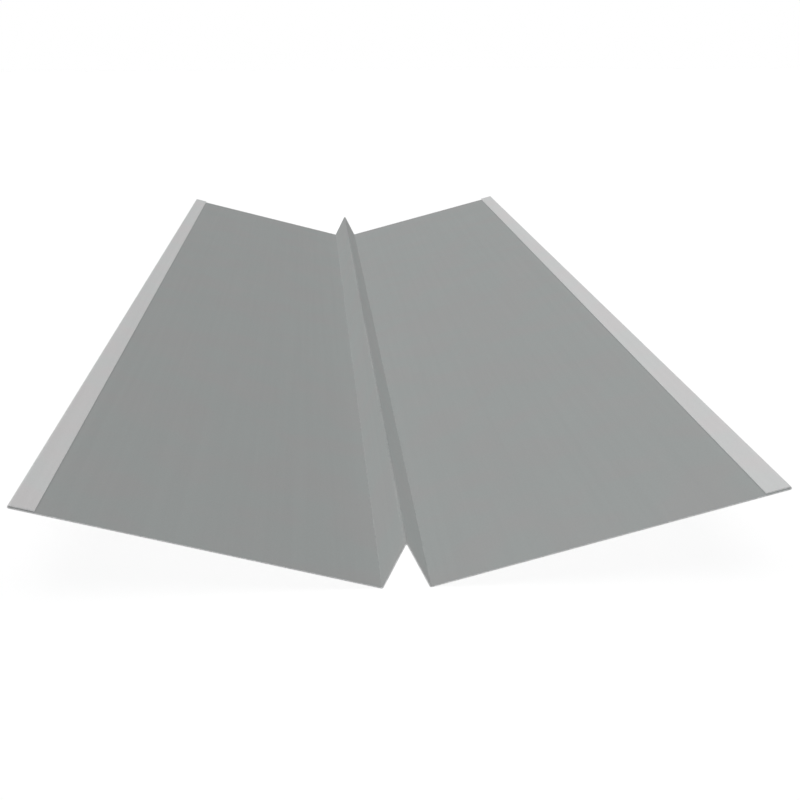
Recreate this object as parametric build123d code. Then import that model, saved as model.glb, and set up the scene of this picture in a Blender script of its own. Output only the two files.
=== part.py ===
from build123d import *
from math import asin, atan2, cos, degrees, hypot, radians, sin
import os

# W-valley flashing: one bent sheet, millimetres.
# X runs across the valley, +Y along it, +Z up. The origin is under the middle of the sheet,
# on the level floor that the two creases stand on.

sheet_length = 1219.2
half_width = 203.2  # centre line to the outermost point of the hem
sheet_thickness = 0.6
wing_slope = 14.7  # degrees above level
crease_spacing = 26.3  # between the lowest lines of the two creases
rib_height = 24.8  # floor to the top of the rib
inside_bend_radius = 0.5  # at the creases and the rib's top
hem_depth = 13.7  # outermost point of the hem to the raw edge, along the wing
hem_gap = 0.8  # open space between the folded strip and the wing

# Bend radii at the middle of the sheet's thickness.
bend_radius = inside_bend_radius + sheet_thickness / 2
fold_radius = (hem_gap + sheet_thickness) / 2
hem_outer_radius = fold_radius + sheet_thickness / 2

# Centres of the crease bend and of the rib's top bend.
crease_x = crease_spacing / 2
crease_z = bend_radius + sheet_thickness / 2
rib_top_z = rib_height - bend_radius - sheet_thickness / 2

# A rib face is straight and touches both of its bends, so its lean from upright
# follows from where their centres are.
rise = rib_top_z - crease_z
centres_apart = hypot(crease_x, rise)
rib_lean = degrees(atan2(crease_x, rise) - asin(2 * bend_radius / centres_apart))
crease_turn = 90 - rib_lean + wing_slope

# Lengths of the straight stretches between the bends.
slope = radians(wing_slope)
rib_face_length = (centres_apart**2 - (2 * bend_radius) ** 2) ** 0.5
fold_x = half_width - hem_outer_radius
wing_length = (fold_x - crease_x + (fold_radius - bend_radius) * sin(slope)) / cos(slope)
hem_length = hem_depth - hem_outer_radius


def rib_top_line(offset):
    """The bend along the top of the rib, offset from the middle of the thickness."""
    return CenterArc((0, rib_top_z), bend_radius + offset, rib_lean, 180 - 2 * rib_lean)


def side_line(offset):
    """Rib face, crease, wing, fold and hem of the right side, in order."""
    rib_face = PolarLine(rib_top_line(offset) @ 0, rib_face_length, rib_lean - 90)
    crease = JernArc(rib_face @ 1, rib_face % 1, bend_radius - offset, crease_turn)
    wing = PolarLine(crease @ 1, wing_length, wing_slope)
    fold = JernArc(wing @ 1, wing % 1, fold_radius - offset, 180)
    hem = PolarLine(fold @ 1, hem_length, wing_slope + 180)
    return [rib_face, crease, wing, fold, hem]


def section():
    """The sheet's cut end: its upper face, its underside and the two raw hem edges."""
    upper = side_line(sheet_thickness / 2)
    under = side_line(-sheet_thickness / 2)
    raw_edge = Line(upper[-1] @ 1, under[-1] @ 1)
    right = upper + under + [raw_edge]
    left = [mirror(edge, Plane.YZ) for edge in right]
    tops = [rib_top_line(sheet_thickness / 2), rib_top_line(-sheet_thickness / 2)]
    return make_face(right + left + tops)


def valley_sheet():
    """The section run along the whole length, centred on the origin."""
    return extrude(Plane.XZ * section(), amount=sheet_length / 2, both=True)


os.makedirs("parts", exist_ok=True)
export_step(valley_sheet(), "parts/valley_sheet.step")
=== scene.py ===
import math
from collections import namedtuple

import bpy
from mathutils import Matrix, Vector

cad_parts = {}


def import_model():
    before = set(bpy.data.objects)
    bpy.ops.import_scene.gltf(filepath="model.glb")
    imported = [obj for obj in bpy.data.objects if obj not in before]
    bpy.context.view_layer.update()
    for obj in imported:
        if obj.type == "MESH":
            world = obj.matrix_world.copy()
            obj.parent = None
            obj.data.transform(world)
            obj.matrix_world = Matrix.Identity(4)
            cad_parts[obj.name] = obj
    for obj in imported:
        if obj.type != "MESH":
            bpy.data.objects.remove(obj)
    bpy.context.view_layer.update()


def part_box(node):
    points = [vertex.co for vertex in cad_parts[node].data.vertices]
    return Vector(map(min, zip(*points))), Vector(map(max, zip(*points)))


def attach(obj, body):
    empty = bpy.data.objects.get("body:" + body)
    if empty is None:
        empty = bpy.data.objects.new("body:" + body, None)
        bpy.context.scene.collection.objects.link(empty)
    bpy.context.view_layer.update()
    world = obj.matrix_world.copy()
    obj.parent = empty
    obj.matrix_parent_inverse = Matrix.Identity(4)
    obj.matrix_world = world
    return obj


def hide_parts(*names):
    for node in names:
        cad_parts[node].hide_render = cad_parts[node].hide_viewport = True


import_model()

# The bent sheet, in metres and as in the part. Half its length is read from the part's box in model.glb.
NODE = "valley_sheet"
HALF_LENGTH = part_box(NODE)[1].y
HALF_WIDTH = 0.2032
THICKNESS = 0.0006
WING_SLOPE = math.radians(14.7)
CREASE_SPACING = 0.0263
RIB_HEIGHT = 0.0248
INSIDE_BEND = 0.0005
HEM_DEPTH = 0.0137
HEM_GAP = 0.0008

# How finely the mesh follows it.
ARC_STEP = math.radians(8)
WING_CUTS = 10
RIB_CUTS = 3
HEM_CUTS = 3
RING_SPACING = 0.025
BORDER = 0.0008  # loops this far from each bend and each cut hold the shading flat
SHARP_ANGLE = math.radians(40)

# How the wings' flat faces wander from true: two waves along the length, added.
SLACK = 0.00012
LONG_WAVE = 0.47
SHORT_WAVE = 0.19
LONG_WAVE_SHARE = 0.65
SHORT_WAVE_LEAD = 2.3  # radians, to each side

# Colours, linear.
FACE_GREY = (0.2945, 0.3045, 0.3015)
REVERSE_GREY = (0.517, 0.517, 0.517)
ZINC_GREY = (0.64, 0.645, 0.65)
COOL_TINT = (0.99, 1.005, 1.003)
WARM_TINT = (1.01, 0.994, 0.996)

# Noise in the finishes: how many features a metre, how much finer detail, how far it is drawn out
# along an axis by a stretch below 1, and what part of its values is used.
Noise = namedtuple("Noise", "scale detail stretch taken", defaults=[(1, 1, 1), (0.3, 0.7)])
STREAKS = Noise(260, 3, stretch=(1, 0.012, 1))
MOTTLING = Noise(7, 3)
GRAIN = Noise(1500, 3)
TINT_PATCHES = Noise(22, 2, taken=(0.42, 0.6))
CRAZING = Noise(900, 4, stretch=(1, 0.25, 1))
RUBBING = Noise(60, 4, stretch=(1, 0.2, 1), taken=(0.35, 0.65))
CHIPS = Noise(420, 4, taken=(0.3, 0.75))
DULLING = Noise(18, 4, taken=(0.35, 0.7))
ORANGE_PEEL = Noise(520, 1)
DRAG_LINES = Noise(1800, 3, stretch=(1, 1, 0.2))
CUT_DULLING = Noise(900, 2)

# How strong they are.
MOTTLING_TO_STREAKS = 0.4
GRAIN_TO_STREAKS = 3
CRAZED_SHADES = (-0.07, 0.07)
RUBBED_SHADES = (-0.03, 0.04)
CHIP_REACH = 0.35  # what chips add at most to the mark near a cut, or take from it
CHIPPED_ABOVE = 0.9
DULLED = (-0.05, 0.06)  # added to a coat's roughness
DRAG_SHADE = 0.15
CUT_ROUGHNESS = (0.42, 0.6)
CUT_METALLIC = 0.25
COAT_GLOSS = 0.02
COAT_CHALKINESS = 0.5

# The ground, the backdrop and the even light from all round.
FLOOR_SIZE = 14
FLOOR_PALE = 0.5  # what the floor gives back to the object
FLOOR_SHOWN = 0.925  # what the camera sees of it, under the white
FLOOR_WHITE = 0.4  # share of plain white over the floor, which leaves a soft shadow
BACKDROP_WHITE = 1.0
WORLD_LIGHT = 0.16

# The camera, fitted to the photograph's lines. Sensor and lens are in millimetres.
CAMERA_PLACE = (-0.04628, -1.26788, 0.28817)
CAMERA_TURN = (math.radians(74.313), math.radians(0.098), math.radians(-3.763))
SENSOR_WIDTH = 36
LENS = 60.937

# A place along the section: where it is, which way it heads, how far the face may wander there,
# and from 0 to 1 whether it is in a bend, at a raw edge and on the rib's rubbed top.
Station = namedtuple("Station", "x z heading slack strain edge rub", defaults=(0, 0, 0, 0))


def turned(station, turn, radius):
    """The station after an arc that is tangent to this one; a positive turn goes left."""
    side = math.copysign(1, turn)
    heading = station.heading + turn
    x = station.x + side * radius * (math.sin(heading) - math.sin(station.heading))
    z = station.z - side * radius * (math.cos(heading) - math.cos(station.heading))
    return Station(x, z, heading, strain=1, rub=station.rub)


def moved(station, distance, slack=0):
    """The station that lies straight ahead of this one."""
    x = station.x + distance * math.cos(station.heading)
    z = station.z + distance * math.sin(station.heading)
    return Station(x, z, station.heading, slack=slack)


def bend(stations, turn, radius):
    """Goes on round a bend, in equal steps."""
    start = stations[-1]
    steps = math.ceil(abs(turn) / ARC_STEP)
    stations.extend(turned(start, turn * i / steps, radius) for i in range(1, steps + 1))


def straight(stations, length, cuts, slack=0, ends_in_bend=True):
    """Goes on straight, with a loop near each end and the stretch between cut evenly."""
    start = stations[-1]
    inner = length - 2 * BORDER
    for i in range(cuts + 1):
        share = i / cuts
        stations.append(moved(start, BORDER + inner * share, slack * math.sin(math.pi * share) ** 2))
    last = moved(start, length)
    stations.append(last._replace(strain=1) if ends_in_bend else last._replace(edge=1))


def half_section():
    """Stations along the middle of the thickness, from the rib's top to the right raw edge."""
    bend_radius = INSIDE_BEND + THICKNESS / 2
    fold_radius = (HEM_GAP + THICKNESS) / 2
    outer_radius = bend_radius + THICKNESS / 2
    rise = RIB_HEIGHT - 2 * outer_radius
    apart = math.hypot(CREASE_SPACING / 2, rise)
    lean = math.atan2(CREASE_SPACING / 2, rise) - math.asin(2 * bend_radius / apart)
    rib_face = math.sqrt(apart**2 - (2 * bend_radius) ** 2)
    hem_outer = fold_radius + THICKNESS / 2
    across = HALF_WIDTH - hem_outer - CREASE_SPACING / 2
    wing = (across + (fold_radius - bend_radius) * math.sin(WING_SLOPE)) / math.cos(WING_SLOPE)

    stations = [Station(0, RIB_HEIGHT - THICKNESS / 2, heading=0, strain=1, rub=1)]
    bend(stations, lean - math.pi / 2, bend_radius)
    straight(stations, rib_face, RIB_CUTS)
    bend(stations, math.pi / 2 - lean + WING_SLOPE, bend_radius)
    straight(stations, wing, WING_CUTS, slack=SLACK)
    bend(stations, math.pi, fold_radius)
    straight(stations, HEM_DEPTH - hem_outer, HEM_CUTS, ends_in_bend=False)
    return stations


def full_section():
    """Both halves, from the left raw edge to the right one."""
    right = half_section()
    left = [s._replace(x=-s.x, heading=-s.heading, slack=-s.slack) for s in right[1:]]
    return left[::-1] + right


def ring_places():
    """Where the section's rings stand along the length, with a loop close to each cut end."""
    inner = HALF_LENGTH - BORDER
    count = round(2 * inner / RING_SPACING)
    between = [-inner + 2 * inner * i / count for i in range(count + 1)]
    return [-HALF_LENGTH, *between, HALF_LENGTH]


def wander(y, side):
    """The slow wave of a flat face along the length, from -1 to 1, unlike on the two wings."""
    long_wave = math.sin(2 * math.pi * y / LONG_WAVE + side)
    short_wave = math.sin(2 * math.pi * y / SHORT_WAVE + SHORT_WAVE_LEAD * side)
    return LONG_WAVE_SHARE * long_wave + (1 - LONG_WAVE_SHARE) * short_wave


def sheet_points(section, places):
    """Points of the painted face and the reverse by turns, ring by ring, and their marks."""
    points = []
    marks = {"bend_strain": [], "near_cut": [], "rubbed_top": []}
    for y in places:
        at_end = abs(y) == HALF_LENGTH
        for s in section:
            normal_x, normal_z = -math.sin(s.heading), math.cos(s.heading)
            shift = abs(s.slack) * wander(y, math.copysign(1, s.slack))
            for offset, rub in ((shift + THICKNESS / 2, s.rub), (shift - THICKNESS / 2, 0)):
                points.append((s.x + offset * normal_x, y, s.z + offset * normal_z))
                marks["bend_strain"].append(s.strain)
                marks["near_cut"].append(1 if at_end else s.edge)
                marks["rubbed_top"].append(rub)
    return points, marks


def sheet_faces(across, along):
    """Quads of the painted face, of the reverse and of the cut edges."""
    last_i, last_j = across - 1, along - 1

    def face(i, j):
        return 2 * (j * across + i)

    def reverse(i, j):
        return face(i, j) + 1

    painted, back, cut = [], [], []
    for j in range(last_j):
        for i in range(last_i):
            painted.append((face(i, j), face(i + 1, j), face(i + 1, j + 1), face(i, j + 1)))
            back.append((reverse(i, j), reverse(i, j + 1), reverse(i + 1, j + 1), reverse(i + 1, j)))
        cut.append((face(0, j), face(0, j + 1), reverse(0, j + 1), reverse(0, j)))
        cut.append((face(last_i, j), reverse(last_i, j), reverse(last_i, j + 1), face(last_i, j + 1)))
    for i in range(last_i):
        cut.append((face(i, 0), reverse(i, 0), reverse(i + 1, 0), face(i + 1, 0)))
        cut.append((face(i, last_j), face(i + 1, last_j), reverse(i + 1, last_j), reverse(i, last_j)))
    return painted, back, cut


def placed(name, data, location=(0, 0, 0), rotation=(0, 0, 0)):
    """A new object in the scene."""
    made = bpy.data.objects.new(name, data)
    made.location = location
    made.rotation_euler = rotation
    bpy.context.scene.collection.objects.link(made)
    return made


def sheet_piece():
    """The whole sheet as one closed mesh of quads: painted face, reverse and bare cut edges."""
    section = full_section()
    places = ring_places()
    points, marks = sheet_points(section, places)
    painted, back, cut = sheet_faces(len(section), len(places))
    mesh = bpy.data.meshes.new("flashing_sheet")
    mesh.from_pydata(points, [], painted + back + cut)
    slots = [0] * len(painted) + [1] * len(back) + [2] * len(cut)
    mesh.polygons.foreach_set("material_index", slots)
    smooth = [True] * (len(painted) + len(back)) + [False] * len(cut)
    mesh.polygons.foreach_set("use_smooth", smooth)
    for name, values in marks.items():
        layer = mesh.attributes.new(name, "FLOAT", "POINT")
        layer.data.foreach_set("value", values)
    mesh.set_sharp_from_angle(angle=SHARP_ANGLE)
    mesh.update()
    return placed("flashing_sheet", mesh)


def emptied_tree(owner):
    """The node tree of a material or world, with nothing in it."""
    owner.use_nodes = True
    owner.node_tree.nodes.clear()
    return owner.node_tree


def add(tree, kind, inputs=None, **settings):
    """A node with its settings, and its inputs set to values or linked to other sockets."""
    made = tree.nodes.new(kind)
    for name, value in settings.items():
        setattr(made, name, value)
    for name, value in (inputs or {}).items():
        socket = made.inputs[name]
        if isinstance(value, bpy.types.NodeSocket):
            tree.links.new(value, socket)
        elif socket.type == "RGBA":
            socket.default_value = (*value, 1)
        else:
            socket.default_value = value
    return made


def maths(tree, operation, *values):
    """One operation on values or sockets."""
    return add(tree, "ShaderNodeMath", dict(enumerate(values)), operation=operation).outputs[0]


def noise(tree, kind):
    """Noise in the object's own metres."""
    place = add(tree, "ShaderNodeTexCoord").outputs["Object"]
    mapping = add(tree, "ShaderNodeMapping", {"Vector": place, "Scale": kind.stretch})
    inputs = {"Vector": mapping.outputs["Vector"], "Scale": kind.scale, "Detail": kind.detail}
    return add(tree, "ShaderNodeTexNoise", inputs).outputs["Fac"]


def ranged(tree, value, taken, given):
    """value carried from the range taken to the range given, and held inside it."""
    names = ("Value", "From Min", "From Max", "To Min", "To Max")
    inputs = dict(zip(names, (value, *taken, *given)))
    return add(tree, "ShaderNodeMapRange", inputs).outputs["Result"]


def spread(tree, kind, low, high):
    """Noise that goes from low to high."""
    return ranged(tree, noise(tree, kind), kind.taken, (low, high))


def shaded(tree, colour, share):
    """colour made lighter or darker by a share about 1."""
    inputs = {0: colour, "Scale": share}
    return add(tree, "ShaderNodeVectorMath", inputs, operation="SCALE").outputs["Vector"]


def blended(tree, share, first, second):
    """first where share is 0, second where it is 1. Sockets 6, 7 and 2 are the node's colours."""
    inputs = {"Factor": share, 6: first, 7: second}
    return add(tree, "ShaderNodeMix", inputs, data_type="RGBA").outputs[2]


def mark(tree, name):
    """A value stored on the mesh's points."""
    return add(tree, "ShaderNodeAttribute", attribute_name=name).outputs["Fac"]


def coloured_coat(tree, grey, unevenness):
    """The coat's colour: two tints that drift into each other, streaked, mottled and grained."""
    cool, warm = (tuple(g * t for g, t in zip(grey, tint)) for tint in (COOL_TINT, WARM_TINT))
    colour = blended(tree, spread(tree, TINT_PATCHES, 0, 1), cool, warm)
    mottled, grained = MOTTLING_TO_STREAKS * unevenness, GRAIN_TO_STREAKS * unevenness
    for kind, swing in ((STREAKS, unevenness), (MOTTLING, mottled), (GRAIN, grained)):
        colour = shaded(tree, colour, spread(tree, kind, 1 - swing, 1 + swing))
    return colour


def worn_coat(tree, colour):
    """The colour with its bends crazed, the rib's top rubbed and the cut edges chipped to zinc."""
    places = (("bend_strain", CRAZING, CRAZED_SHADES), ("rubbed_top", RUBBING, RUBBED_SHADES))
    for name, kind, shades in places:
        share = maths(tree, "MULTIPLY_ADD", mark(tree, name), spread(tree, kind, *shades), 1)
        colour = shaded(tree, colour, share)
    near_cut = maths(tree, "ADD", mark(tree, "near_cut"), spread(tree, CHIPS, -CHIP_REACH, CHIP_REACH))
    return blended(tree, ranged(tree, near_cut, (CHIPPED_ABOVE, 1), (0, 1)), colour, ZINC_GREY)


def add_surface(tree, inputs):
    """A shader with these inputs, as the material's surface."""
    shader = add(tree, "ShaderNodeBsdfPrincipled", inputs)
    add(tree, "ShaderNodeOutputMaterial", {"Surface": shader.outputs["BSDF"]})


def coat_material(name, grey, unevenness, roughness, peel):
    """Baked-on coil coat, with fine orange peel."""
    material = bpy.data.materials.new(name)
    tree = emptied_tree(material)
    height = noise(tree, ORANGE_PEEL)
    bump = add(tree, "ShaderNodeBump", {"Height": height, "Strength": 1, "Distance": peel})
    add_surface(tree, {
        "Base Color": worn_coat(tree, coloured_coat(tree, grey, unevenness)),
        "Roughness": spread(tree, DULLING, *(roughness + change for change in DULLED)),
        "Specular IOR Level": COAT_GLOSS,
        "Diffuse Roughness": COAT_CHALKINESS,
        "Normal": bump.outputs["Normal"],
    })
    return material


def cut_edge_material():
    """Sheared steel with zinc dragged over it: dull metal with fine lines across the thickness."""
    material = bpy.data.materials.new("sheared_edge")
    tree = emptied_tree(material)
    drag = spread(tree, DRAG_LINES, 1 - DRAG_SHADE, 1 + DRAG_SHADE)
    add_surface(tree, {
        "Base Color": shaded(tree, ZINC_GREY, drag),
        "Roughness": spread(tree, CUT_DULLING, *CUT_ROUGHNESS),
        "Metallic": CUT_METALLIC,
    })
    return material


def dress_sheet():
    """The coated sheet, in place of the plain CAD node. Its finishes are in the slots' order."""
    piece = sheet_piece()
    face = coat_material("face_coat", FACE_GREY, unevenness=0.01, roughness=0.8, peel=0.00002)
    reverse = coat_material("reverse_coat", REVERSE_GREY, unevenness=0.012, roughness=0.82, peel=0.000014)
    for material in (face, reverse, cut_edge_material()):
        piece.data.materials.append(material)
    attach(piece, "root")
    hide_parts(NODE)


def seen_directly(tree):
    """1 for rays from the camera, from gloss and through glass, which see the white ground."""
    path = add(tree, "ShaderNodeLightPath").outputs
    either = maths(tree, "MAXIMUM", path["Is Camera Ray"], path["Is Glossy Ray"])
    return maths(tree, "MAXIMUM", either, path["Is Transmission Ray"])


def mixed_shaders(tree, share, first, second):
    """first where share is 0, second where it is 1."""
    return add(tree, "ShaderNodeMixShader", {0: share, 1: first, 2: second}).outputs[0]


def floor_material():
    """Pale to the object, and to the camera white with a soft shadow."""
    material = bpy.data.materials.new("floor")
    tree = emptied_tree(material)
    pale = add(tree, "ShaderNodeBsdfDiffuse", {"Color": [FLOOR_PALE] * 3}).outputs["BSDF"]
    shown = add(tree, "ShaderNodeBsdfDiffuse", {"Color": [FLOOR_SHOWN] * 3}).outputs["BSDF"]
    white = add(tree, "ShaderNodeEmission", {"Strength": BACKDROP_WHITE}).outputs["Emission"]
    softened = mixed_shaders(tree, FLOOR_WHITE, shown, white)
    surface = mixed_shaders(tree, seen_directly(tree), pale, softened)
    add(tree, "ShaderNodeOutputMaterial", {"Surface": surface})
    return material


def floor():
    """A level floor under the sheet, far wider than it."""
    half = FLOOR_SIZE / 2
    corners = [(-half, -half, 0), (half, -half, 0), (half, half, 0), (-half, half, 0)]
    mesh = bpy.data.meshes.new("floor")
    mesh.from_pydata(corners, [], [(0, 1, 2, 3)])
    mesh.materials.append(floor_material())
    placed("floor", mesh)


def background(tree, strength):
    """Even white light of this strength."""
    inputs = {"Color": (1, 1, 1), "Strength": strength}
    return add(tree, "ShaderNodeBackground", inputs).outputs["Background"]


def world():
    """Dim even light from all round, and a white backdrop."""
    made = bpy.data.worlds.new("studio")
    tree = emptied_tree(made)
    dim = background(tree, WORLD_LIGHT)
    white = background(tree, BACKDROP_WHITE)
    surface = mixed_shaders(tree, seen_directly(tree), dim, white)
    add(tree, "ShaderNodeOutputWorld", {"Surface": surface})
    bpy.context.scene.world = made


def lamp(name, strength, azimuth, elevation, spread_angle, shadow):
    """A far, broad lamp. Azimuth 0 is the camera's side and 90 the right; strength 1 is plain level."""
    data = bpy.data.lights.new(name, "SUN")
    data.energy = strength * math.pi
    data.angle = math.radians(spread_angle)
    data.use_shadow = shadow
    placed(name, data, rotation=(math.radians(90 - elevation), 0, math.radians(azimuth)))


def lights():
    """A soft lamp overhead, and fills from the sides that wrap round the rib without a shadow."""
    lamp("overhead", 0.16, azimuth=0, elevation=88, spread_angle=70, shadow=True)
    lamp("high_right", 0.291, azimuth=90, elevation=66, spread_angle=20, shadow=False)
    lamp("low_left", 0.825, azimuth=-85, elevation=25, spread_angle=30, shadow=False)
    lamp("low_right", 0.409, azimuth=85, elevation=25, spread_angle=30, shadow=False)


def camera():
    """The photograph's view, along the sheet from above its near end."""
    data = bpy.data.cameras.new("camera")
    data.sensor_width = SENSOR_WIDTH
    data.lens = LENS
    bpy.context.scene.camera = placed("camera", data, CAMERA_PLACE, CAMERA_TURN)


dress_sheet()
floor()
world()
lights()
camera()
bpy.context.scene.view_settings.view_transform = "Standard"
